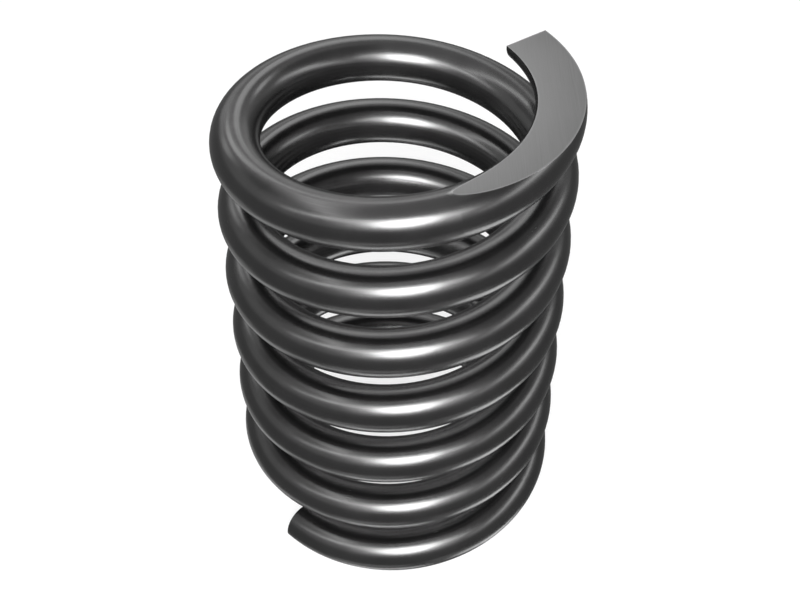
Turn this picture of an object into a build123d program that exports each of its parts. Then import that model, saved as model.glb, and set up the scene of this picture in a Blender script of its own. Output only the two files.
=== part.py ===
from build123d import *
import math
import os

# A compression spring: one length of round steel wire, wound right-handed at a constant pitch.
# Both ends are open, cut square across the wire and ground flat across the coil.
# The coil's axis is +Z, and the spring stands on its lower ground face at Z = 0.
# Lengths are in millimetres and angles in degrees.

# Driving dimensions
WIRE_DIAMETER = 5.0
MEAN_COIL_DIAMETER = 32.0  # across the coil, from wire centre to wire centre
PITCH = 8.5  # rise of the wire in one full turn
FREE_LENGTH = 55.0  # between the two ground faces, with nothing pressing on them
TIP_THICKNESS = 2.5  # what grinding leaves of the wire at each tip
START_ANGLE = -134.9  # where the wire's lower end lies, counted from +X towards +Y

# The wire is drawn as equal arcs that run into each other without a kink.
# With eight or more to a turn they stay within 0.01 mm of the true helix.
LEAST_ARCS_PER_TURN = 8

# Derived sizes
WIRE_RADIUS = WIRE_DIAMETER / 2
MEAN_COIL_RADIUS = MEAN_COIL_DIAMETER / 2
TIP_CENTRE_HEIGHT = TIP_THICKNESS - WIRE_RADIUS
WOUND_HEIGHT = FREE_LENGTH - 2 * TIP_CENTRE_HEIGHT
TURNS = WOUND_HEIGHT / PITCH
ARCS = math.ceil(TURNS * LEAST_ARCS_PER_TURN)
ARC_ANGLE = 360 * TURNS / ARCS
ARC_RISE = WOUND_HEIGHT / ARCS


def wire_centre(arc):
    """The point on the wire's centre line where an arc begins."""
    around = math.radians(START_ANGLE + arc * ARC_ANGLE)
    height = TIP_CENTRE_HEIGHT + arc * ARC_RISE
    return Vector(MEAN_COIL_RADIUS * math.cos(around), MEAN_COIL_RADIUS * math.sin(around), height)


def wire_heading(arc):
    """The direction in which an arc begins, so that the arc before it ends the same way."""
    around = math.radians(START_ANGLE + arc * ARC_ANGLE)
    chord = 2 * MEAN_COIL_RADIUS * math.sin(math.radians(ARC_ANGLE / 2))
    slope = ARC_RISE / chord * math.cos(math.radians(ARC_ANGLE / 2))
    return Vector(-math.sin(around), math.cos(around), slope)


def wound_wire():
    """The wire as it leaves the winding machine, with both ends cut square across it."""
    arcs = [TangentArc(wire_centre(i), wire_centre(i + 1), tangent=wire_heading(i)) for i in range(ARCS)]
    centre_line = Wire([arc.edge() for arc in arcs])
    section = Plane(centre_line @ 0, z_dir=centre_line % 0) * Circle(WIRE_RADIUS)
    return sweep(section, path=centre_line)


def ground_flat(wire):
    """The wire with each end ground off square to the coil's axis."""
    standing = split(wire, Plane.XY, keep=Keep.TOP)
    return split(standing, Plane.XY.offset(FREE_LENGTH), keep=Keep.BOTTOM)


spring_coil = ground_flat(wound_wire())

os.makedirs("parts", exist_ok=True)
export_step(spring_coil, "parts/spring_coil.step")
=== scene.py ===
# %% [markdown]
# # A compression spring
# A compression spring is one length of round steel wire, wound into a coil with gaps between its
# turns, so that it can be squeezed and push back. This one is wound right-handed at an even pitch.
# Its two ends are ground flat, which lets it stand upright and spreads the load round the end turn.
#
# The lesson has five parts: the frame it fits, the camera, the wire, its finishes, and the studio.
# Every length is in metres and every angle in radians, unless a name or a comment says otherwise.
#
# ## The frame
# The spring's plain shape comes from a solid model, which is loaded as a frame that never changes.
# Its sizes could be typed in again here, but then the two could come to differ. So they are read
# from it wherever it has them, and the finished spring is measured against its box at the end.

import math

import bmesh
import bpy
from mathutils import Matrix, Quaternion, Vector


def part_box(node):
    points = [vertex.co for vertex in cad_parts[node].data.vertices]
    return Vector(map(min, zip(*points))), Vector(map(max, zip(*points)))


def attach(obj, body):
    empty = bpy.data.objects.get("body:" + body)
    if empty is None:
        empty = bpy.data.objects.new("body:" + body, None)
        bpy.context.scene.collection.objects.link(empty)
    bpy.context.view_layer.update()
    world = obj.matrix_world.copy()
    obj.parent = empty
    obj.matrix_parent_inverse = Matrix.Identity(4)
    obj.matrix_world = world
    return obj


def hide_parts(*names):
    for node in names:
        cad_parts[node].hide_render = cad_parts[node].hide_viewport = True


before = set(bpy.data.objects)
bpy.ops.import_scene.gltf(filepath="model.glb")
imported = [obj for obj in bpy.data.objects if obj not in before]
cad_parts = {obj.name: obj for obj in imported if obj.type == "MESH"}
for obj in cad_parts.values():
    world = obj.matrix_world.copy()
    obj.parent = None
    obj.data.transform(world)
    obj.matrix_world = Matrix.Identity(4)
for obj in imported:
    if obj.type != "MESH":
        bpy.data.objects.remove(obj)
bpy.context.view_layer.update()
print("nodes in the frame:", list(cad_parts))

# %% [markdown]
# ## The camera
# The spring is seen from 45 degrees above, close enough for the top turn to look clearly larger
# than the bottom one. A camera could be turned and pushed about by eye until the picture looks
# right. Its numbers were worked out instead, and are given here: the difference between the top and
# bottom turns fixes how far away it is, about four times the coil's width. It stands on the -Y side
# and looks down at the coil's axis, a little below mid-height.

# %% Put the camera in its place
CAMERA_HEIGHT_ANGLE = math.radians(45.02)
CAMERA_DISTANCE = 0.14439
CAMERA_AIM = Vector((0.00037, 0.0, 0.02639))
LENS_MM = 57.82
SENSOR_MM = 36.0
NEAREST_SEEN = 0.001

camera_data = bpy.data.cameras.new("camera")
camera_data.lens = LENS_MM
camera_data.sensor_width = SENSOR_MM
camera_data.clip_start = NEAREST_SEEN
camera = bpy.data.objects.new("camera", camera_data)
bpy.context.collection.objects.link(camera)
bpy.context.scene.camera = camera

towards_camera = Vector((0.0, -math.cos(CAMERA_HEIGHT_ANGLE), math.sin(CAMERA_HEIGHT_ANGLE)))
camera.location = CAMERA_AIM + CAMERA_DISTANCE * towards_camera
camera.rotation_euler = (math.pi / 2 - CAMERA_HEIGHT_ANGLE, 0.0, 0.0)
print("camera at", [round(v, 4) for v in camera.location])

# %% [markdown]
# ## The sizes of the spring
# A spring maker gives a spring by a few numbers: how thick the wire is, how wide the coil is, how
# far the wire rises in one turn (the pitch), and how long the spring is with nothing pressing on
# it. The frame already holds the coil's outer width and its free length, so they are read from
# there. The other sizes are the maker's own choices and are written down once, here.

# %% Write down the sizes
WIRE_DIAMETER = 0.005
PITCH = 0.0085
TIP_THICKNESS = 0.0025  # what grinding leaves of the wire at each tip
START_ANGLE = math.radians(-134.9)  # where the lower tip lies, counted from +X towards +Y
MM = 1000  # millimetres in a metre, for what is printed

coil_low, coil_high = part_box("spring_coil")
free_length = coil_high[2] - coil_low[2]
coil_reach = min(-coil_low[0], -coil_low[1], coil_high[0], coil_high[1])
mean_coil_diameter = 2 * coil_reach - WIRE_DIAMETER
climb = free_length - 2 * (TIP_THICKNESS - WIRE_DIAMETER / 2)
print(f"coil {mean_coil_diameter * MM:.2f} mm across, from wire centre to wire centre")
print(f"free length {free_length * MM:.2f} mm, {climb / PITCH:.2f} turns")

# %% [markdown]
# ## Helpers for building node trees
# A node tree can be drawn by hand or written as a script. In a script, each node is one line: what
# it does, and what goes into it. An input is given either a plain value or another node's output.
# `put` adds a node, and `sum_of` adds a Math node and hands back its result, so that sums can be
# nested.

# %% Make the helpers
def feed(tree, socket, value):
    """Links an output to an input, or sets the input's value."""
    if isinstance(value, bpy.types.NodeSocket):
        tree.links.new(value, socket)
    else:
        socket.default_value = value


def put(tree, kind, inputs=None, **settings):
    """Adds one node, with its settings and its inputs by name or number."""
    node = tree.nodes.new(kind)
    for name, value in settings.items():
        setattr(node, name, value)
    for name, value in (inputs or {}).items():
        feed(tree, node.inputs[name], value)
    return node


def sum_of(tree, operation, *values):
    """Adds a Math node and returns its result."""
    node = put(tree, "ShaderNodeMath", operation=operation)
    for socket, value in zip(node.inputs, values):
        feed(tree, socket, value)
    return node.outputs[0]


def ramp(tree, value, start, end, low, high, curve="LINEAR"):
    """Maps value from start..end to low..high, and holds it there outside."""
    inputs = {"Value": value, "From Min": start, "From Max": end, "To Min": low, "To Max": high}
    return put(tree, "ShaderNodeMapRange", inputs, interpolation_type=curve).outputs[0]


print("helpers: feed, put, sum_of and ramp")

# %% [markdown]
# ## The wire
# The real wire is drawn round, wound on a rod, cut off square, and then both ends are pressed
# against a grinding wheel until they are flat. It could be made here by sweeping a circle along a
# spiral curve and cutting the ends off with a Boolean, but a Boolean leaves slivers along the cut,
# and slivers spoil a smooth highlight.
#
# So the wire starts as a flat grid of points instead. Its rows follow one another along the wire,
# and its columns follow one another round it. Each point works out its own place in space from its
# row and its column. The columns are shared out so that some of them always lie on the edge of the
# ground flat, which keeps that edge clean and sharp.

# %% Start the tree and name its inputs
WIRE_INPUTS = {
    "NodeSocketGeometry": ["Geometry"],
    "NodeSocketFloat": ["Wire Diameter", "Mean Coil Diameter", "Pitch", "Free Length",
                        "Tip Thickness", "Start Angle"],
    "NodeSocketInt": ["Rows on a Ground End", "Rows Between", "Columns on a Side",
                      "Columns on a Flat"],
    "NodeSocketMaterial": ["Wire Finish", "Ground Finish", "Cut Finish"],
}

wire_tree = bpy.data.node_groups.new("wound wire", "GeometryNodeTree")
for socket_type, socket_names in WIRE_INPUTS.items():
    for socket_name in socket_names:
        wire_tree.interface.new_socket(socket_name, in_out="INPUT", socket_type=socket_type)
wire_tree.interface.new_socket("Geometry", in_out="OUTPUT", socket_type="NodeSocketGeometry")
given = wire_tree.nodes.new("NodeGroupInput").outputs


def wire_sum(operation, *values):
    """A Math node in the wire's own tree."""
    return sum_of(wire_tree, operation, *values)


def wire_ramp(*values, curve="LINEAR"):
    """A Map Range node in the wire's own tree."""
    return ramp(wire_tree, *values, curve=curve)


print("inputs:", [socket.name for socket in given if socket.name])

# %% [markdown]
# The first sums turn the maker's sizes into the ones that the shape needs. The wire leans over as
# it climbs, by the lead angle: the rise of one turn against the length of the circle that it goes
# round. Each end is ground from its tip, where the wheel leaves half the wire, to the place where
# the climbing wire has risen clear of the wheel.

# %% Work out the lead angle and the rise of each ground end
wire_radius = wire_sum("DIVIDE", given["Wire Diameter"], 2.0)
coil_radius = wire_sum("DIVIDE", given["Mean Coil Diameter"], 2.0)
rise_per_radian = wire_sum("DIVIDE", given["Pitch"], 2 * math.pi)
lead_angle = wire_sum("ARCTAN2", rise_per_radian, coil_radius)
lead_cosine = wire_sum("COSINE", lead_angle)
lead_sine = wire_sum("SINE", lead_angle)
tip_centre = wire_sum("SUBTRACT", given["Tip Thickness"], wire_radius)
wound_height = wire_sum("MULTIPLY_ADD", tip_centre, -2.0, given["Free Length"])
ground_rise = wire_sum("SUBTRACT", wire_sum("MULTIPLY", wire_radius, lead_cosine), tip_centre)
rise_between = wire_sum("MULTIPLY_ADD", ground_rise, -2.0, wound_height)
print("lead angle and rises:", len(wire_tree.nodes), "nodes so far")

# %% [markdown]
# A grid is laid out one unit to a step, so that a point's own position gives its row and column
# number. There is one row more at each end, which closes the end of the wire: all its points meet
# in the middle. The first and last columns lie in the same place, and are welded together later on.

# %% Lay out the grid and number its rows and columns
end_rows = given["Rows on a Ground End"]
side_columns = given["Columns on a Side"]
flat_columns = given["Columns on a Flat"]
ground_row = wire_sum("ADD", end_rows, 1.0)
clear_row = wire_sum("ADD", ground_row, given["Rows Between"])
tip_row = wire_sum("ADD", clear_row, end_rows)
last_row = wire_sum("ADD", tip_row, 1.0)
lower_flat = wire_sum("ADD", side_columns, flat_columns)
upper_side = wire_sum("ADD", lower_flat, side_columns)
last_column = wire_sum("ADD", upper_side, flat_columns)

grid = put(wire_tree, "GeometryNodeMeshGrid", {
    "Size X": last_row,
    "Size Y": last_column,
    "Vertices X": wire_sum("ADD", last_row, 1.0),
    "Vertices Y": wire_sum("ADD", last_column, 1.0),
})
grid_position = put(wire_tree, "ShaderNodeSeparateXYZ", {
    "Vector": put(wire_tree, "GeometryNodeInputPosition").outputs[0],
})
row = wire_sum("MULTIPLY_ADD", last_row, 0.5, grid_position.outputs["X"])
column = wire_sum("MULTIPLY_ADD", last_column, 0.5, grid_position.outputs["Y"])
print("grid:", len(wire_tree.nodes), "nodes so far")

# %% [markdown]
# Now each row finds the height of the wire's centre. Even steps would do along most of the wire,
# but not at its ends. A smooth step starts and ends slowly, so rows crowd together at the tip and
# where the ground flat runs out. At the tip that keeps the shading true up to the edge. Where the
# flat runs out it keeps the flat's outline sharp, because it narrows to nothing there. The way
# round the coil's axis then follows from the height, so the wire climbs evenly wherever its rows
# lie.

# %% Find the wire's centre for each row
first_rise = wire_ramp(row, 1.0, ground_row, 0.0, ground_rise, curve="SMOOTHSTEP")
middle_rise = wire_ramp(row, ground_row, clear_row, 0.0, rise_between)
last_rise = wire_ramp(row, clear_row, tip_row, 0.0, ground_rise, curve="SMOOTHSTEP")
risen = wire_sum("ADD", wire_sum("ADD", first_rise, middle_rise), last_rise)
centre_height = wire_sum("ADD", tip_centre, risen)
way_round = wire_sum("ADD", given["Start Angle"], wire_sum("DIVIDE", risen, rise_per_radian))
way_along = wire_sum("DIVIDE", risen, lead_sine)
print("wire's centre:", len(wire_tree.nodes), "nodes so far")

# %% [markdown]
# Next comes the wire's section: a circle, with its bottom cut off by the lower wheel or its top by
# the upper one. How far the wheel lies from the wire's centre gives half the angle that the flat
# takes up, by an arc cosine. It is zero where the wheel misses the wire. The columns then share out
# the circle, one run of them after another: inner side, lower flat, outer side and upper flat.

# %% Share the circle out among the columns
def half_flat(distance):
    """Half the angle of the circle that a wheel at this distance takes away."""
    share = wire_sum("DIVIDE", distance, wire_radius)
    held = put(wire_tree, "ShaderNodeClamp", {"Value": share, "Min": -1.0, "Max": 1.0})
    return wire_sum("ARCCOSINE", held.outputs[0])


lower_wheel = wire_sum("DIVIDE", centre_height, lead_cosine)
height_left = wire_sum("SUBTRACT", given["Free Length"], centre_height)
upper_wheel = wire_sum("DIVIDE", height_left, lead_cosine)
lower_half = half_flat(lower_wheel)
upper_half = half_flat(upper_wheel)
lower_angle = wire_sum("MULTIPLY", lower_half, 2.0)
upper_angle = wire_sum("MULTIPLY", upper_half, 2.0)
side_angle = wire_sum("SUBTRACT", wire_sum("SUBTRACT", math.pi, lower_half), upper_half)

section_angle = wire_sum("ADD", upper_half, math.pi / 2)
for turn in (
    wire_ramp(column, 0.0, side_columns, 0.0, side_angle, curve="SMOOTHSTEP"),
    wire_ramp(column, side_columns, lower_flat, 0.0, lower_angle),
    wire_ramp(column, lower_flat, upper_side, 0.0, side_angle, curve="SMOOTHSTEP"),
    wire_ramp(column, upper_side, last_column, 0.0, upper_angle),
):
    section_angle = wire_sum("ADD", section_angle, turn)
print("section's angles:", len(wire_tree.nodes), "nodes so far")

# %% [markdown]
# An angle becomes a place on the circle by its cosine and its sine. The wheels then hold the place
# between them, which presses the points past a wheel onto its flat.

# %% Shape the section
round_x = wire_sum("MULTIPLY", wire_radius, wire_sum("COSINE", section_angle))
round_y = wire_sum("MULTIPLY", wire_radius, wire_sum("SINE", section_angle))
ground_y = put(wire_tree, "ShaderNodeClamp", {
    "Value": round_y,
    "Min": wire_sum("MULTIPLY", lower_wheel, -1.0),
    "Max": upper_wheel,
}).outputs[0]
print("section:", len(wire_tree.nodes), "nodes so far")

# %% [markdown]
# The two extra rows gather their points in the middle of the wire's end. Then the section is stood
# up square across the leaning wire, moved out to the coil's radius, and turned to its place round
# the axis.

# %% Close the ends and put every point in its place
past_start = wire_sum("LESS_THAN", row, 0.5)
past_end = wire_sum("GREATER_THAN", row, wire_sum("SUBTRACT", last_row, 0.5))
on_wire = wire_sum("SUBTRACT", wire_sum("SUBTRACT", 1.0, past_start), past_end)
highest = wire_sum("MINIMUM", upper_wheel, wire_radius)
lowest = wire_sum("MINIMUM", lower_wheel, wire_radius)
middle_y = wire_sum("MULTIPLY", wire_sum("SUBTRACT", highest, lowest), 0.5)
from_middle = wire_sum("SUBTRACT", ground_y, middle_y)
section_x = wire_sum("MULTIPLY", round_x, on_wire)
section_y = wire_sum("MULTIPLY_ADD", from_middle, on_wire, middle_y)

unturned = put(wire_tree, "ShaderNodeCombineXYZ", {
    "X": wire_sum("ADD", coil_radius, section_x),
    "Y": wire_sum("MULTIPLY", wire_sum("MULTIPLY", section_y, lead_sine), -1.0),
    "Z": wire_sum("MULTIPLY_ADD", section_y, lead_cosine, centre_height),
})
in_place = put(wire_tree, "ShaderNodeVectorRotate", {
    "Vector": unturned.outputs[0],
    "Angle": way_round,
}, rotation_type="Z_AXIS")
print("places:", len(wire_tree.nodes), "nodes so far")

# %% [markdown]
# The finishes need to know where they are on the wire. Marks from the drawing die run along it,
# however it is wound. A UV map could say where that is, but it has a seam, which a fine pattern
# would show. So each point keeps the place that it would have if the wire were pulled straight, as
# an attribute. It is stored before the points move, while the row and the column can still be read
# from the grid.

# %% Store where each point lies on the straight wire
STRAIGHT_WIRE = "straight wire"

straight = put(wire_tree, "ShaderNodeCombineXYZ", {"X": round_x, "Y": round_y, "Z": way_along})
with_straight = put(wire_tree, "GeometryNodeStoreNamedAttribute", {
    "Geometry": grid.outputs["Mesh"],
    "Name": STRAIGHT_WIRE,
    "Value": straight.outputs[0],
}, data_type="FLOAT_VECTOR", domain="POINT")
print("attribute kept:", STRAIGHT_WIRE)

# %% [markdown]
# Each point also keeps how far it is from the sharp edge of a ground flat, because that is where
# steel first wears bright, and where a painted edge highlight lies. A Bevel node can look for edges
# while the picture is made, but an exported model loses that, and the wire knows exactly where its
# edges are.

# %% Store how far each point is from a ground edge
FROM_EDGE = "from edge"

past_inner_side = wire_sum("GREATER_THAN", column, side_columns)
before_outer_side = wire_sum("LESS_THAN", column, lower_flat)
on_lower_flat = wire_sum("MULTIPLY", past_inner_side, before_outer_side)
on_upper_flat = wire_sum("GREATER_THAN", column, upper_side)
on_flat = wire_sum("ADD", on_lower_flat, on_upper_flat)

above_lower = wire_sum("ADD", lower_wheel, ground_y)
below_upper = wire_sum("SUBTRACT", upper_wheel, ground_y)
from_wheel = wire_sum("MINIMUM", above_lower, below_upper)
either_half = wire_sum("ADD", lower_half, upper_half)
half_width = wire_sum("MULTIPLY", wire_radius, wire_sum("SINE", either_half))
inside_edge = wire_sum("SUBTRACT", half_width, wire_sum("ABSOLUTE", round_x))
from_edge = wire_sum("ADD", from_wheel, wire_sum("MULTIPLY", on_flat, inside_edge))
with_edge = put(wire_tree, "GeometryNodeStoreNamedAttribute", {
    "Geometry": with_straight.outputs["Geometry"],
    "Name": FROM_EDGE,
    "Value": from_edge,
}, data_type="FLOAT", domain="POINT")
print("attribute kept:", FROM_EDGE)

# %% [markdown]
# Each face keeps which kind of face it is: the side of the wire, a ground flat, or the cut end. It
# could be found again afterwards from the way each face points, but the side of the wire points
# every way somewhere, while here the row and the column tell the three apart for certain.

# %% Keep the kind of each face
before_tip = wire_sum("LESS_THAN", row, 1.0)
past_tip = wire_sum("GREATER_THAN", row, tip_row)
face_kind = put(wire_tree, "GeometryNodeCaptureAttribute", {
    "Geometry": with_edge.outputs["Geometry"],
}, domain="FACE")
face_kind.capture_items.new("FLOAT", "on a flat")
face_kind.capture_items.new("FLOAT", "on an end")
feed(wire_tree, face_kind.inputs["on a flat"], on_flat)
feed(wire_tree, face_kind.inputs["on an end"], wire_sum("ADD", before_tip, past_tip))
print("kept for each face:", [item.name for item in face_kind.capture_items])

# %% [markdown]
# Last, the points move, the seam and the gathered points are welded, and the faces get their
# finishes. The side of the wire is shaded smooth. The flats and the ends are not, which keeps their
# edges sharp. The tree ends in Realize Instances and Set Material, so the result is one plain mesh.

# %% Weld, shade and give out the finishes
WELD_DISTANCE = 0.000001

moved = put(wire_tree, "GeometryNodeSetPosition", {
    "Geometry": face_kind.outputs["Geometry"],
    "Position": in_place.outputs[0],
})
welded = put(wire_tree, "GeometryNodeMergeByDistance", {
    "Geometry": moved.outputs[0],
    "Distance": WELD_DISTANCE,
})
flat_or_end = wire_sum("ADD", face_kind.outputs["on a flat"], face_kind.outputs["on an end"])
shaded = put(wire_tree, "GeometryNodeSetShadeSmooth", {
    "Geometry": welded.outputs[0],
    "Shade Smooth": wire_sum("LESS_THAN", flat_or_end, 0.5),
}, domain="FACE")
realized = put(wire_tree, "GeometryNodeRealizeInstances", {"Geometry": shaded.outputs[0]})
with_wire = put(wire_tree, "GeometryNodeSetMaterial", {
    "Geometry": realized.outputs[0],
    "Material": given["Wire Finish"],
})
with_ground = put(wire_tree, "GeometryNodeSetMaterial", {
    "Geometry": with_wire.outputs[0],
    "Selection": face_kind.outputs["on a flat"],
    "Material": given["Ground Finish"],
})
with_cut = put(wire_tree, "GeometryNodeSetMaterial", {
    "Geometry": with_ground.outputs[0],
    "Selection": face_kind.outputs["on an end"],
    "Material": given["Cut Finish"],
})
put(wire_tree, "NodeGroupOutput", {0: with_cut.outputs[0]})
print("whole tree:", len(wire_tree.nodes), "nodes")

# %% [markdown]
# ## The finishes
# Three finishes meet on this spring. The side of the wire is dark, smooth and softly glossy. The
# ground flats are bare steel, dull and grey, with the fine lines of the wheel. The cut ends are
# bare too, but were parted off, so they are darker and more uneven. All three are metal, so the
# shader's colour says how much of the surroundings they mirror: 0.1 is a tenth, which is dark steel
# under its oxide.
#
# Some effects belong to more than one finish, so each of them is built once, as a node group. A
# group is like a helper in a script: it has named inputs, and each material places it with its own
# values.

# %% Helpers for groups
NOISE_LOW, NOISE_HIGH = 0.3, 0.7  # noise lies round 0.5, and hardly ever outside these two


def new_group(name, inputs, output):
    """Starts a shader node group. Returns it, the values given to it, and its output's socket."""
    group = bpy.data.node_groups.new(name, "ShaderNodeTree")
    for socket_name, socket_type, value in inputs:
        socket = group.interface.new_socket(socket_name, in_out="INPUT", socket_type=socket_type)
        socket.default_value = value
    group.interface.new_socket(output, in_out="OUTPUT", socket_type="NodeSocketFloat")
    given_values = group.nodes.new("NodeGroupInput").outputs
    return group, given_values, group.nodes.new("NodeGroupOutput").inputs[output]


def noise(tree, place, scale, detail, roughness, seed):
    """Noise with a fixed seed, so that it comes out the same each time."""
    return put(tree, "ShaderNodeTexNoise", {
        "Vector": place, "W": seed, "Scale": scale, "Detail": detail, "Roughness": roughness,
    }, noise_dimensions="4D").outputs[0]


print("helpers: new_group and noise")

# %% [markdown]
# ### Fine lines
# Drawing, grinding and parting off all leave fine parallel lines, in different directions and
# sizes. A Wave texture would make them too even. Noise that is stretched a long way in one
# direction starts, stops and wavers as real ones do. The group takes a place, a line width and a
# line length, and stretches along Z, so each finish first turns its place to suit. A second,
# coarser noise makes some bands of lines deeper than others.

# %% Build the fine lines
BAND_OF_LINES = 7.0
BAND_STRETCH = 1.5
FAINTEST_BAND = 0.35
LINE_SEED = 1.0
BAND_SEED = 2.0


def stretched_noise(tree, place, width, length, detail, seed):
    """Noise with features this wide in X and Y and this long in Z."""
    across = sum_of(tree, "DIVIDE", 1.0, width)
    along = sum_of(tree, "DIVIDE", 1.0, length)
    scale = put(tree, "ShaderNodeCombineXYZ", {"X": across, "Y": across, "Z": along}).outputs[0]
    scaled = put(tree, "ShaderNodeVectorMath", {0: place, 1: scale}, operation="MULTIPLY")
    return noise(tree, scaled.outputs[0], scale=1.0, detail=detail, roughness=0.6, seed=seed)


LINES, given_lines, lines_out = new_group("fine lines", [
    ("Place", "NodeSocketVector", (0.0, 0.0, 0.0)),
    ("Line Width", "NodeSocketFloat", 0.0002),
    ("Line Length", "NodeSocketFloat", 0.01),
], "Lines")
fine = stretched_noise(LINES, given_lines["Place"], given_lines["Line Width"],
                       given_lines["Line Length"], detail=3.0, seed=LINE_SEED)
band_width = sum_of(LINES, "MULTIPLY", given_lines["Line Width"], BAND_OF_LINES)
band_length = sum_of(LINES, "MULTIPLY", given_lines["Line Length"], BAND_STRETCH)
bands = stretched_noise(LINES, given_lines["Place"], band_width, band_length, detail=1.0,
                        seed=BAND_SEED)
depth = ramp(LINES, bands, NOISE_LOW, NOISE_HIGH, FAINTEST_BAND, 1.0)
centred = sum_of(LINES, "SUBTRACT", fine, 0.5)
feed(LINES, lines_out, sum_of(LINES, "MULTIPLY_ADD", centred, depth, 0.5))
print("fine lines:", len(LINES.nodes), "nodes")

# %% [markdown]
# ### Clouds
# No steel is one even colour. Oil, heat and handling leave soft clouds, a few millimetres across,
# which change its colour a little and its gloss a little more. Painting them by hand would need a
# picture for each spring. A Noise texture, with its contrast raised, gives the same thing at any
# size.

# %% Build the clouds
CLOUD_SEED = 5.0

CLOUDS, given_clouds, clouds_out = new_group("clouds", [
    ("Place", "NodeSocketVector", (0.0, 0.0, 0.0)),
    ("Size", "NodeSocketFloat", 0.003),
], "Clouds")
cloud_scale = sum_of(CLOUDS, "DIVIDE", 1.0, given_clouds["Size"])
cloud_noise = noise(CLOUDS, given_clouds["Place"], cloud_scale, detail=4.0, roughness=0.55,
                    seed=CLOUD_SEED)
feed(CLOUDS, clouds_out, ramp(CLOUDS, cloud_noise, NOISE_LOW, NOISE_HIGH, 0.0, 1.0))
print("clouds:", len(CLOUDS.nodes), "nodes")

# %% [markdown]
# ### Bright edges
# A ground edge is sharp, and rubs bright against its seat and in its box. Its light line here is
# that wear together with a painted edge highlight. The mesh already says how far each point is from
# such an edge, and how far along the wire it is, which gives the distance from the two cut ends.
# The nearest of the three makes the mask, and a little noise keeps the line uneven.

# %% Build the bright edges
RUBS_IN_A_METRE = 900.0
RUB_SEED = 9.0


def kept(tree, name, output):
    """Reads the attribute that the mesh keeps under this name."""
    return put(tree, "ShaderNodeAttribute", attribute_name=name).outputs[output]


def place_on_object(tree):
    """Where a point is, as seen from the object itself."""
    return put(tree, "ShaderNodeTexCoord").outputs["Object"]


WEAR_AND_HIGHLIGHT_EDGES, given_edges, edge_out = new_group("bright edges", [
    ("Wire Length", "NodeSocketFloat", 0.65),
    ("Width", "NodeSocketFloat", 0.0002),
    ("Unevenness", "NodeSocketFloat", 0.5),
], "Edge")
from_ground = kept(WEAR_AND_HIGHLIGHT_EDGES, FROM_EDGE, "Fac")
straight_place = kept(WEAR_AND_HIGHLIGHT_EDGES, STRAIGHT_WIRE, "Vector")
from_start = put(WEAR_AND_HIGHLIGHT_EDGES, "ShaderNodeSeparateXYZ", {0: straight_place}).outputs["Z"]
from_finish = sum_of(WEAR_AND_HIGHLIGHT_EDGES, "SUBTRACT", given_edges["Wire Length"], from_start)
from_cut = sum_of(WEAR_AND_HIGHLIGHT_EDGES, "MINIMUM", from_start, from_finish)
nearest = sum_of(WEAR_AND_HIGHLIGHT_EDGES, "MINIMUM", from_ground, from_cut)
rub_noise = noise(WEAR_AND_HIGHLIGHT_EDGES, place_on_object(WEAR_AND_HIGHLIGHT_EDGES), RUBS_IN_A_METRE, detail=3.0, roughness=0.6,
                  seed=RUB_SEED)
rubs = ramp(WEAR_AND_HIGHLIGHT_EDGES, rub_noise, NOISE_LOW, NOISE_HIGH, -1.0, 1.0)
wavering = sum_of(WEAR_AND_HIGHLIGHT_EDGES, "ADD", 1.0, sum_of(WEAR_AND_HIGHLIGHT_EDGES, "MULTIPLY", rubs, given_edges["Unevenness"]))
reach = sum_of(WEAR_AND_HIGHLIGHT_EDGES, "MULTIPLY", given_edges["Width"], wavering)
# the mask of the worn edge and its painted edge highlight
feed(WEAR_AND_HIGHLIGHT_EDGES, edge_out, ramp(WEAR_AND_HIGHLIGHT_EDGES, nearest, 0.0, reach, 1.0, 0.0))
print("bright edges:", len(WEAR_AND_HIGHLIGHT_EDGES.nodes), "nodes")

# %% [markdown]
# ### Putting a finish together
# Each finish starts from a plain metal shader, and mixes its colour, its roughness and its bumps
# from the groups. Numbers that are the same all over are set on the shader's own sockets. One of
# them, Specular Tint, says how bright the metal stays at a glancing angle. Plain metal turns into a
# mirror there, and a matt or oxidised one less so, which keeps its flats grey when they are seen
# edge on.

# %% Helpers for a finish
MIX_FROM, MIX_TO, MIXED = 6, 7, 2  # the Mix node's sockets for colours: two inputs and the output
FAINT_LINE, CLEAR_LINE = 0.35, 0.65


def grey(value):
    """A plain grey."""
    return (value, value, value, 1.0)


def new_metal(name, glancing, metallic=1.0):
    """A material with a metal shader. Returns it, its tree and the shader."""
    material = bpy.data.materials.new(name)
    material.use_nodes = True
    shader = material.node_tree.nodes["Principled BSDF"]
    shader.inputs["Metallic"].default_value = metallic
    shader.inputs["Specular Tint"].default_value = grey(glancing)
    return material, material.node_tree, shader


def effect(tree, group, **values):
    """Places a group and returns its output. An underscore in a name stands for a space."""
    node = put(tree, "ShaderNodeGroup", node_tree=group)
    for name, value in values.items():
        feed(tree, node.inputs[name.replace("_", " ")], value)
    return node.outputs[0]


def blend(tree, share, low, high, most=1.0):
    """A colour between two others. The share runs from 0 to 1, and is scaled to this most."""
    node = put(tree, "ShaderNodeMix", data_type="RGBA")
    feed(tree, node.inputs["Factor"], sum_of(tree, "MULTIPLY", share, most))
    feed(tree, node.inputs[MIX_FROM], low)
    feed(tree, node.inputs[MIX_TO], high)
    return node.outputs[MIXED]


def clear_lines(tree, lines):
    """Where lines show: 0 between them, and 1 on the clearest."""
    return ramp(tree, lines, FAINT_LINE, CLEAR_LINE, 0.0, 1.0)


def roughen(tree, shader, clouds, cloud_range, lines, line_range):
    """Sets the roughness: a range over the clouds, and a change on top of it over the lines."""
    of_clouds = ramp(tree, clouds, 0.0, 1.0, *cloud_range)
    of_lines = ramp(tree, lines, NOISE_LOW, NOISE_HIGH, *line_range)
    feed(tree, shader.inputs["Roughness"], sum_of(tree, "ADD", of_clouds, of_lines))


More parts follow.
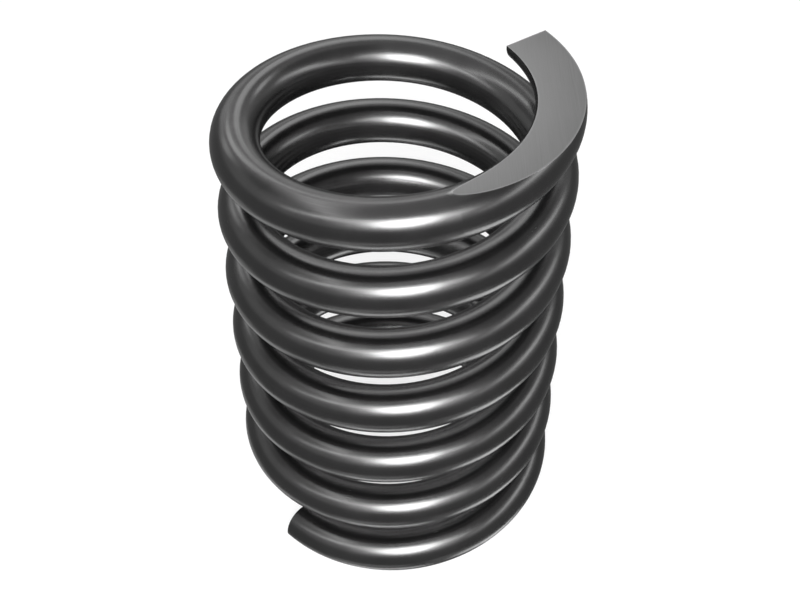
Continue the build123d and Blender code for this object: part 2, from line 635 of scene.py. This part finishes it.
def raise_marks(tree, shader, height, depth_of_marks):
    """Raises the surface by height times this depth."""
    bump = put(tree, "ShaderNodeBump", {"Distance": depth_of_marks, "Height": height})
    feed(tree, shader.inputs["Normal"], bump.outputs[0])


print("helpers: grey, new_metal, effect, blend, clear_lines, roughen and raise_marks")

# %% [markdown]
# ### How long the wire is
# The bright edges have to know where the wire ends. A real wire could be measured with a string.
# Here it is worked out: pulled straight, one turn is the sloping side of a right-angled triangle,
# whose other sides are the pitch and the circle that the turn goes round.

# %% Work out how long the wire is
slope = math.atan2(PITCH, math.pi * mean_coil_diameter)
wire_length = climb / math.sin(slope)
print(f"{wire_length * MM:.0f} mm of wire, wound at a slope of {math.degrees(slope):.1f} degrees")

# %% [markdown]
# ### Dark drawn wire
# The side of the wire is dark with oxide and a trace of oil, which is why it isn't quite fully
# metallic. It carries the marks of the die, which run along it. They are faint: the real thing
# looks smooth at arm's length, and shows its lines only where a lamp glances along them. They could
# be drawn along one direction of the object, but then they would cut across the turns. So they
# follow the straight wire, and bend round the coil with it.

# %% Place the marks on the wire
DIE_LINE_WIDTH = 0.00016
DIE_LINE_LENGTH = 0.015
OXIDE_CLOUD_SIZE = 0.004
WIRE_WEAR_AND_HIGHLIGHT_WIDTH = 0.00005
WIRE_WEAR_AND_HIGHLIGHT_UNEVENNESS = 0.6

wire_finish, wire_nodes, wire_shader = new_metal("dark drawn wire", glancing=0.85, metallic=0.97)
along_wire = kept(wire_nodes, STRAIGHT_WIRE, "Vector")
die_lines = effect(wire_nodes, LINES, Place=along_wire, Line_Width=DIE_LINE_WIDTH,
                   Line_Length=DIE_LINE_LENGTH)
wire_clouds = effect(wire_nodes, CLOUDS, Place=along_wire, Size=OXIDE_CLOUD_SIZE)
wire_edge_wear_and_highlight = effect(wire_nodes, WEAR_AND_HIGHLIGHT_EDGES, Wire_Length=wire_length, Width=WIRE_WEAR_AND_HIGHLIGHT_WIDTH,
                   Unevenness=WIRE_WEAR_AND_HIGHLIGHT_UNEVENNESS)
print("dark drawn wire:", len(wire_nodes.nodes), "nodes so far")

# %% [markdown]
# The clouds set the colour and the gloss first. The die's lines come on top, a little lighter and
# smoother, and last comes the rubbed edge, close to bare steel, with a painted edge highlight in
# the same light colour. Mixed in that order, each layer covers what the real one would.

# %% Mix the wire's colour, gloss and bumps
OXIDE_DARK = grey(0.096)
OXIDE_LIGHT = grey(0.12)
DIE_LINE = grey(0.15)
# the rubbed wire's colour: bare-steel wear, with a painted edge highlight in it
WIRE_WEAR_AND_HIGHLIGHT = grey(0.4)
OXIDE_ROUGHNESS = (0.225, 0.265)
DIE_LINE_ROUGHNESS = (0.02, -0.02)
DIE_LINE_DEPTH = 0.000003

oxide = blend(wire_nodes, wire_clouds, OXIDE_DARK, OXIDE_LIGHT)
drawn = blend(wire_nodes, clear_lines(wire_nodes, die_lines), oxide, DIE_LINE, most=0.4)
wire_with_wear_and_highlight = blend(wire_nodes, wire_edge_wear_and_highlight, drawn, WIRE_WEAR_AND_HIGHLIGHT, most=0.6)
feed(wire_nodes, wire_shader.inputs["Base Color"], wire_with_wear_and_highlight)
roughen(wire_nodes, wire_shader, wire_clouds, OXIDE_ROUGHNESS, die_lines, DIE_LINE_ROUGHNESS)
raise_marks(wire_nodes, wire_shader, die_lines, DIE_LINE_DEPTH)
print("dark drawn wire:", len(wire_nodes.nodes), "nodes")

# %% [markdown]
# ### Ground steel
# The wheel runs flat across the end of the coil, so its lines are straight and parallel over the
# whole flat, whichever way the wire bends. They could follow the wire as the die's lines do, but
# then the flat would look wound and not ground. So they are made from the place on the object,
# turned so that the stretched direction lies flat.

# %% Place the marks on a ground flat
WHEEL_WAY = (math.radians(90.0), 0.0, math.radians(25.0))
WHEEL_LINE_WIDTH = 0.00007
WHEEL_LINE_LENGTH = 0.006
BARE_CLOUD_SIZE = 0.006
FLAT_EDGE_WEAR_AND_HIGHLIGHT_WIDTH = 0.00016
FLAT_EDGE_WEAR_AND_HIGHLIGHT_UNEVENNESS = 0.5

ground_finish, ground_nodes, ground_shader = new_metal("ground steel", glancing=0.2)
ground_place = place_on_object(ground_nodes)
wheel_place = put(ground_nodes, "ShaderNodeMapping", {
    "Vector": ground_place,
    "Rotation": WHEEL_WAY,
}).outputs[0]
wheel_lines = effect(ground_nodes, LINES, Place=wheel_place, Line_Width=WHEEL_LINE_WIDTH,
                     Line_Length=WHEEL_LINE_LENGTH)
ground_clouds = effect(ground_nodes, CLOUDS, Place=ground_place, Size=BARE_CLOUD_SIZE)
ground_edge_wear_and_highlight = effect(ground_nodes, WEAR_AND_HIGHLIGHT_EDGES, Wire_Length=wire_length, Width=FLAT_EDGE_WEAR_AND_HIGHLIGHT_WIDTH,
                     Unevenness=FLAT_EDGE_WEAR_AND_HIGHLIGHT_UNEVENNESS)
print("ground steel:", len(ground_nodes.nodes), "nodes so far")

# %% [markdown]
# A ground flat is painted lighter towards the coil's inside and darker at its outer rim, as
# painted shading. The clouds alone couldn't show that, as they know nothing of the coil. So how
# light the steel is goes mostly by its distance from the coil's axis, which is the painted
# shading, and for the rest by the clouds.

# %% Paint the shading on the bare steel, and add its clouds
LEVEL = (1.0, 1.0, 0.0)  # takes the height out of a place
PAINTED_SHADING_SHARE = 0.7

level_place = put(ground_nodes, "ShaderNodeVectorMath", {0: ground_place, 1: LEVEL},
                  operation="MULTIPLY").outputs[0]
from_axis = put(ground_nodes, "ShaderNodeVectorMath", {0: level_place}, operation="LENGTH")
inner_rim = (mean_coil_diameter - WIRE_DIAMETER) / 2
outer_rim = (mean_coil_diameter + WIRE_DIAMETER) / 2
# painted shading: the flat lighter towards the coil's inside, darker at its outer rim
painted_inner_shading = ramp(ground_nodes, from_axis.outputs["Value"], inner_rim, outer_rim, PAINTED_SHADING_SHARE, 0.0)
clouds_and_painted_shading = sum_of(ground_nodes, "MULTIPLY_ADD", ground_clouds, 1.0 - PAINTED_SHADING_SHARE, painted_inner_shading)
print(f"lighter from {outer_rim * MM:.1f} mm to {inner_rim * MM:.1f} mm from the axis")

# %% [markdown]
# The wheel's lines and the rubbed edge, which carries a painted edge highlight, come on top of the
# bare steel and its painted shading. The flat is matt, so it is rougher than the wire, and its
# Specular Tint is low, which keeps it from shining at a glancing angle.

# %% Mix the ground flat's colour, gloss and bumps
# the bare steel's range, spread over its clouds and its painted shading
BARE_DARK = grey(0.19)
BARE_LIGHT = grey(0.292)
WHEEL_LINE = grey(0.35)
# the rubbed edge's colour: bare-steel wear, with a painted edge highlight in it
FLAT_EDGE_WEAR_AND_HIGHLIGHT = grey(0.5)
BARE_ROUGHNESS = (0.47, 0.53)
WHEEL_LINE_ROUGHNESS = (-0.05, 0.05)
WHEEL_LINE_DEPTH = 0.0000015

bare = blend(ground_nodes, clouds_and_painted_shading, BARE_DARK, BARE_LIGHT)
lined = blend(ground_nodes, clear_lines(ground_nodes, wheel_lines), bare, WHEEL_LINE, most=0.42)
flat_with_wear_and_highlight = blend(ground_nodes, ground_edge_wear_and_highlight, lined, FLAT_EDGE_WEAR_AND_HIGHLIGHT, most=0.35)
feed(ground_nodes, ground_shader.inputs["Base Color"], flat_with_wear_and_highlight)
roughen(ground_nodes, ground_shader, ground_clouds, BARE_ROUGHNESS, wheel_lines,
        WHEEL_LINE_ROUGHNESS)
raise_marks(ground_nodes, ground_shader, wheel_lines, WHEEL_LINE_DEPTH)
print("ground steel:", len(ground_nodes.nodes), "nodes")

# %% [markdown]
# ### Cut steel
# The wire was sheared off before it was ground, so its ends are rougher than the flats, with short
# lines down them in the direction of the blade. They could be modelled as grooves, but the end is
# only half a wire high. Those lines lie upright on the coil, so the place on the object suits them
# as it is: the group already stretches its lines along Z.

# %% Make the cut finish
SHEAR_LINE_WIDTH = 0.00025
SHEAR_LINE_LENGTH = 0.003
SHEAR_LINE_DEPTH = 0.00001
SHEARED_CLOUD_SIZE = 0.0012
SHEARED_DARK = grey(0.1)
SHEARED_LIGHT = grey(0.17)
SHEAR_LINE = grey(0.24)
SHEARED_ROUGHNESS = (0.36, 0.5)

cut_finish, cut_nodes, cut_shader = new_metal("cut steel", glancing=0.5)
cut_place = place_on_object(cut_nodes)
cut_lines = effect(cut_nodes, LINES, Place=cut_place, Line_Width=SHEAR_LINE_WIDTH,
                   Line_Length=SHEAR_LINE_LENGTH)
cut_clouds = effect(cut_nodes, CLOUDS, Place=cut_place, Size=SHEARED_CLOUD_SIZE)
sheared = blend(cut_nodes, cut_clouds, SHEARED_DARK, SHEARED_LIGHT)
scored = blend(cut_nodes, clear_lines(cut_nodes, cut_lines), sheared, SHEAR_LINE, most=0.5)
cut_roughness = ramp(cut_nodes, cut_lines, NOISE_LOW, NOISE_HIGH, *SHEARED_ROUGHNESS)
feed(cut_nodes, cut_shader.inputs["Base Color"], scored)
feed(cut_nodes, cut_shader.inputs["Roughness"], cut_roughness)
raise_marks(cut_nodes, cut_shader, cut_lines, SHEAR_LINE_DEPTH)
print("cut steel:", len(cut_nodes.nodes), "nodes")

# %% [markdown]
# ## Winding the wire
# The tree is hung on an empty mesh as a modifier, and its inputs are set by their identifiers. The
# modifier could stay live, so that the spring changes with its sizes. But this spring has to be
# measured, so it is worked out once and the result is kept as a plain mesh.
#
# The numbers of rows and columns are chosen for the highlights: about one row for each millimetre
# of wire is enough for them to run along it without a waver.

# %% Wind it
SETTINGS = {
    "Wire Diameter": WIRE_DIAMETER,
    "Mean Coil Diameter": mean_coil_diameter,
    "Pitch": PITCH,
    "Free Length": free_length,
    "Tip Thickness": TIP_THICKNESS,
    "Start Angle": START_ANGLE,
    "Rows on a Ground End": 60,
    "Rows Between": 600,
    "Columns on a Side": 32,
    "Columns on a Flat": 8,
    "Wire Finish": wire_finish,
    "Ground Finish": ground_finish,
    "Cut Finish": cut_finish,
}

former = bpy.data.objects.new("former", bpy.data.meshes.new("former"))
bpy.context.collection.objects.link(former)
winding = former.modifiers.new("winding", "NODES")
winding.node_group = wire_tree
for item in wire_tree.interface.items_tree:
    if item.in_out == "INPUT" and item.name in SETTINGS:
        winding[item.identifier] = SETTINGS[item.name]
wound = former.evaluated_get(bpy.context.evaluated_depsgraph_get())
wire_mesh = bpy.data.meshes.new_from_object(wound)
wire_mesh.name = "spring_wire"
print(len(wire_mesh.vertices), "points,", len(wire_mesh.polygons), "faces")

# %% [markdown]
# The modifier and the object that carried it have done their work and are taken away, as a winding
# machine's rod is. The rod's own mesh had no finish, and may have left an empty place at the start
# of the list, which goes too.

# %% Take the wire off its former
former.modifiers.remove(winding)
bpy.data.objects.remove(former)
if wire_mesh.materials[0] is None:
    wire_mesh.materials.pop(index=0)
spring_wire = bpy.data.objects.new("spring_wire", wire_mesh)
bpy.context.collection.objects.link(spring_wire)
print(spring_wire.name, "has the finishes", [finish.name for finish in wire_mesh.materials])

# %% [markdown]
# Before going on it pays to measure. A closed mesh has two faces on every edge, and its volume says
# both that it is the right size and that its faces point outwards: turned inwards, the volume is
# negative. The spring also has to stay inside the box of the frame that it stands for.

# %% Measure it
measured = bmesh.new()
measured.from_mesh(wire_mesh)
open_edges = sum(len(edge.link_faces) != 2 for edge in measured.edges)
volume = measured.calc_volume(signed=True)
measured.free()
print(f"{open_edges} open edges, volume {volume * MM ** 3:.1f} cubic mm")
for axis, letter in enumerate("XYZ"):
    along_axis = [vertex.co[axis] * MM for vertex in wire_mesh.vertices]
    print(f"{letter}: {min(along_axis):.3f} to {max(along_axis):.3f} mm, frame "
          f"{coil_low[axis] * MM:.3f} to {coil_high[axis] * MM:.3f} mm")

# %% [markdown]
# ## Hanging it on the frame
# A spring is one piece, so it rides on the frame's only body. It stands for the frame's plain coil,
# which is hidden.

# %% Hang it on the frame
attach(spring_wire, "root")
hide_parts("spring_coil")
print(spring_wire.name, "stands for spring_coil")

# %% [markdown]
# ## The studio
# ### The floor
# The spring stands on a plain floor. It could be a square, but a camera that looks down from any
# side would then meet its corners at different distances. A wide disc round the spring is the same
# from every side.

# %% Shape the floor
FLOOR_RADIUS = 0.6
FLOOR_CORNERS = 96

floor_mesh = bpy.data.meshes.new("floor")
floor_shape = bmesh.new()
bmesh.ops.create_circle(floor_shape, cap_ends=True, segments=FLOOR_CORNERS, radius=FLOOR_RADIUS)
floor_shape.to_mesh(floor_mesh)
floor_shape.free()
floor = bpy.data.objects.new("floor", floor_mesh)
bpy.context.collection.objects.link(floor)
print(f"floor: {2 * FLOOR_RADIUS} m across")

# %% [markdown]
# The floor is to look white. White could be had by pouring light on it, but that light would fall
# on the spring too. So its paint is grey and takes the spring's shadow, and it gives off a steady
# light of its own that only the camera and shiny or clear things see. Further out it goes over into
# plain white, so that no horizon shows. From underneath it is clear, to show the lower flat.

# %% Paint the floor
PAINT = 0.24
OWN_LIGHT = 0.8
SHADOWS_FADE_FROM = 0.15
SHADOWS_GONE_AT = 0.4


def seen_directly(tree):
    """1 for a ray from the camera, or one that a shiny or clear surface passes on."""
    path = put(tree, "ShaderNodeLightPath").outputs
    shiny = sum_of(tree, "MAXIMUM", path["Is Glossy Ray"], path["Is Transmission Ray"])
    return sum_of(tree, "MAXIMUM", path["Is Camera Ray"], shiny)


def mix(tree, share, first, second):
    """A shader between two others: the first at share 0, the second at share 1."""
    inputs = {0: share, 1: first.outputs[0], 2: second.outputs[0]}
    return put(tree, "ShaderNodeMixShader", inputs)


floor_finish = bpy.data.materials.new("white floor")
floor_finish.use_nodes = True
floor_tree = floor_finish.node_tree
floor_tree.nodes.clear()
floor_mesh.materials.append(floor_finish)

way_out = put(floor_tree, "ShaderNodeVectorMath", {0: place_on_object(floor_tree)},
              operation="LENGTH").outputs["Value"]
fade = ramp(floor_tree, way_out, SHADOWS_FADE_FROM, SHADOWS_GONE_AT, 0.0, 1.0)
own_light = ramp(floor_tree, fade, 0.0, 1.0, OWN_LIGHT, 1.0)
glow = sum_of(floor_tree, "MULTIPLY", seen_directly(floor_tree), own_light)
paint = put(floor_tree, "ShaderNodeBsdfDiffuse", {"Color": grey(PAINT)})
lit = put(floor_tree, "ShaderNodeEmission", {"Strength": glow})
both = put(floor_tree, "ShaderNodeAddShader", {0: paint.outputs[0], 1: lit.outputs[0]})
from_above = mix(floor_tree, fade, both, lit)
underneath = put(floor_tree, "ShaderNodeNewGeometry").outputs["Backfacing"]
clear = put(floor_tree, "ShaderNodeBsdfTransparent")
sided = mix(floor_tree, underneath, from_above, clear)
put(floor_tree, "ShaderNodeOutputMaterial", {"Surface": sided.outputs[0]})
print("white floor:", len(floor_tree.nodes), "nodes")

# %% [markdown]
# ### The lamps
# Dark shiny wire shows little but its lamps, so their places matter more than anything else here.
# A picture of a real studio could be wrapped round the scene, but lamps can be moved one at a time.
# Each one is a softbox: a flat panel of even light. It is placed by the direction that it lies in
# as seen from the spring, and sized by how many degrees of the spring's surroundings it fills.

# %% A helper for softboxes
AIM = Vector((0.0, 0.0, free_length / 2))
LAMP_DISTANCE = 1.0
ELLIPSE_SHARE = math.pi / 4  # how much of its rectangle an ellipse fills


def direction(azimuth, elevation):
    """A unit vector from two angles in degrees.

    Azimuth 0 is the camera's side and 90 is +X. Elevation is counted up from level.
    """
    a = math.radians(azimuth)
    e = math.radians(elevation)
    return Vector((math.sin(a) * math.cos(e), -math.cos(a) * math.cos(e), math.sin(e)))


def softbox(name, azimuth, elevation, wide, high, brightness, shape="ELLIPSE", roll=0.0):
    """An area lamp, with its angles in degrees.

    Brightness 1 is a white that just shows as white, and roll turns the lamp about its middle.
    """
    lamp_data = bpy.data.lights.new(name, "AREA")
    lamp_data.shape = shape
    lamp_data.size = 2 * LAMP_DISTANCE * math.tan(math.radians(wide / 2))
    lamp_data.size_y = 2 * LAMP_DISTANCE * math.tan(math.radians(high / 2))
    filled = ELLIPSE_SHARE if shape == "ELLIPSE" else 1.0
    lamp_data.energy = brightness * math.pi * lamp_data.size * lamp_data.size_y * filled
    lamp = bpy.data.objects.new(name, lamp_data)
    away = direction(azimuth, elevation)
    lamp.location = AIM + LAMP_DISTANCE * away
    lamp.rotation_mode = "QUATERNION"
    lamp.rotation_quaternion = Quaternion(away, math.radians(roll)) @ away.to_track_quat("Z", "Y")
    lamp.visible_camera = False
    bpy.context.collection.objects.link(lamp)
    print(f"{name}: {lamp_data.size:.2f} by {lamp_data.size_y:.2f} m, {lamp_data.energy:.1f} W")


print("helpers: direction and softbox")

# %% [markdown]
# The key light hangs behind the camera and makes the long white highlight on the front of every
# turn. Two weaker, wider panels round it soften that highlight's edge. The rest are dim, and draw
# the thin grey lines that show how round the wire is on its sides and on the inside of its far
# turns. Together they light the spring at a plain level: a matt grey card there renders about as
# grey as it is.

# %% Place the lamps
# Each line: the name, azimuth, elevation, width and height in degrees, and the brightness.
softbox("key", -1.5, 39.5, 33, 32, 11.2)
softbox("key shoulders", -9, 49, 80, 17, 2.0)
softbox("key halo", 0, 38, 66, 46, 0.9)
softbox("left tail", -63, 36, 26, 9, 1.5, shape="RECTANGLE", roll=35)
softbox("right strip", 85, 27.5, 52, 11, 1.9, shape="RECTANGLE")
softbox("right strip middle", 85, 32, 18, 8, 1.2)
softbox("right strip end", 48, 22, 14, 10, 0.9)
softbox("rear left arc", -106, 62, 62, 8, 2.2, shape="RECTANGLE")
softbox("rear left end", -165, 40, 10, 18, 1.6)
softbox("rear left spot", -154, 31, 12, 14, 2.3)
softbox("rear left glow", -136, 23, 14, 12, 1.3)
softbox("rear right spot", 143, 34, 12, 13, 2.3)
softbox("rear spot", 178, 35, 16, 30, 1.6)

# %% [markdown]
# ### The tent and its cards
# Wire this round mirrors the whole room, and in an even white room it would look flat and pale. So
# a photographer puts a shiny thing in a grey tent, on a shelf of clear glass, and hangs cards
# wherever its mirrored surroundings have to be darker or lighter. The same is done here. The tent
# and the cards are seen only in the wire. In the wire's reflections the floor is left out, as a
# sheet of clear glass would be, so every turn mirrors the same cards below it.

# %% A finish for cards
def card_finish(name, brightness):
    """An even glow. It is only mirrored and lights nothing, so the sampling leaves it out."""
    finish = bpy.data.materials.new(name)
    finish.use_nodes = True
    finish.cycles.emission_sampling = "NONE"
    finish.node_tree.nodes.clear()
    even = put(finish.node_tree, "ShaderNodeEmission", {"Strength": brightness})
    put(finish.node_tree, "ShaderNodeOutputMaterial", {"Surface": even.outputs[0]})
    return finish


floor.visible_glossy = False
print("helper: card_finish; the floor is left out of reflections")

# %% [markdown]
# A card could be a flat plane, but it would look narrower at its ends. Each is a piece of a sphere
# round the spring instead, so it can be given by the directions where it starts and ends. The tent
# is made of two such cards that go all the way round.

# %% A helper for cards
CARD_STEP = 6  # degrees
FEWEST_STEPS = 2
CARD_DISTANCE = 1.2
TENT_DISTANCE = 1.3


def steps(start, end):
    """Angles from start to end, in even steps of about a card's step."""
    count = max(FEWEST_STEPS, round((end - start) / CARD_STEP))
    return [start + (end - start) * i / count for i in range(count + 1)]


def card(name, azimuths, elevations, brightness, distance=CARD_DISTANCE):
    """An evenly bright card, bent round the spring between two azimuths and two elevations."""
    shape = bmesh.new()
    lines = []
    for elevation in steps(*elevations):
        places = [AIM + distance * direction(azimuth, elevation) for azimuth in steps(*azimuths)]
        lines.append([shape.verts.new(place) for place in places])
    for low_line, high_line in zip(lines, lines[1:]):
        for four_points in zip(low_line, low_line[1:], high_line[1:], high_line):
            shape.faces.new(four_points)
    bmesh.ops.remove_doubles(shape, verts=shape.verts, dist=WELD_DISTANCE)
    mesh = bpy.data.meshes.new(name)
    shape.to_mesh(mesh)
    shape.free()
    mesh.materials.append(card_finish(name, brightness))
    sheet = bpy.data.objects.new(name, mesh)
    sheet.visible_camera = False
    sheet.visible_diffuse = False
    sheet.visible_shadow = False
    sheet.visible_transmission = False
    bpy.context.collection.objects.link(sheet)
    print(f"{name}: {len(mesh.polygons)} faces, brightness {brightness}")


print("helpers: steps and card")

# %% [markdown]
# The tent is lighter above than below, as in a room with a pale ceiling. Two shades keep the sides
# of the turns dark between their bands of light. The cards under the floor put a thin light line
# along the lower edge of each turn, which parts it from the dark gap beneath.

# %% Hang the tent and the cards
# Each line: the name, the two azimuths and the two elevations in degrees, and the brightness.
card("tent top", (-180, 180), (10, 90), 0.48, TENT_DISTANCE)
card("tent bottom", (-180, 180), (-90, 10), 0.235, TENT_DISTANCE)
card("right shade", (50, 135), (40, 76), 0.2)
card("left shade", (-135, -100), (34, 50), 0.22)
card("rear low light", (158, 215), (5, 20), 1.0)
card("light below right", (50, 112), (-67, -52), 3.2)
card("light below front", (-62, 42), (-83, -70), 2.8)
card("light below left", (-140, -60), (-62, -50), 1.0)
card("low light left", (-135, -104), (-50, -34), 0.6)
card("edge light left", (-160, -134), (-62, -42), 0.55)
card("low light right", (22, 62), (-58, -36), 0.55)
card("light below left front", (-85, -30), (-70, -60), 1.4)
card("light below middle", (-48, 8), (-56, -46), 0.95)

# %% [markdown]
# ### The world
# The world is what lies behind everything else. It could light the whole scene, but even light from
# all sides would wash the wire out. So for dull surfaces it is dim, and only keeps shadows from
# going black. For the camera, and for rays that shiny or clear things pass on, it is plain white.
# The picture is shown in Standard, so that white comes out as white.

# %% Make the world
EVEN_LIGHT = 0.15

world = bpy.data.worlds.new("studio")
bpy.context.scene.world = world
world.use_nodes = True
world_tree = world.node_tree
world_tree.nodes.clear()
dim = put(world_tree, "ShaderNodeBackground", {"Strength": EVEN_LIGHT})
white = put(world_tree, "ShaderNodeBackground", {"Color": grey(1.0), "Strength": 1.0})
room = mix(world_tree, seen_directly(world_tree), dim, white)
put(world_tree, "ShaderNodeOutputWorld", {"Surface": room.outputs[0]})
bpy.context.scene.view_settings.view_transform = "Standard"
print("world:", len(world_tree.nodes), "nodes")
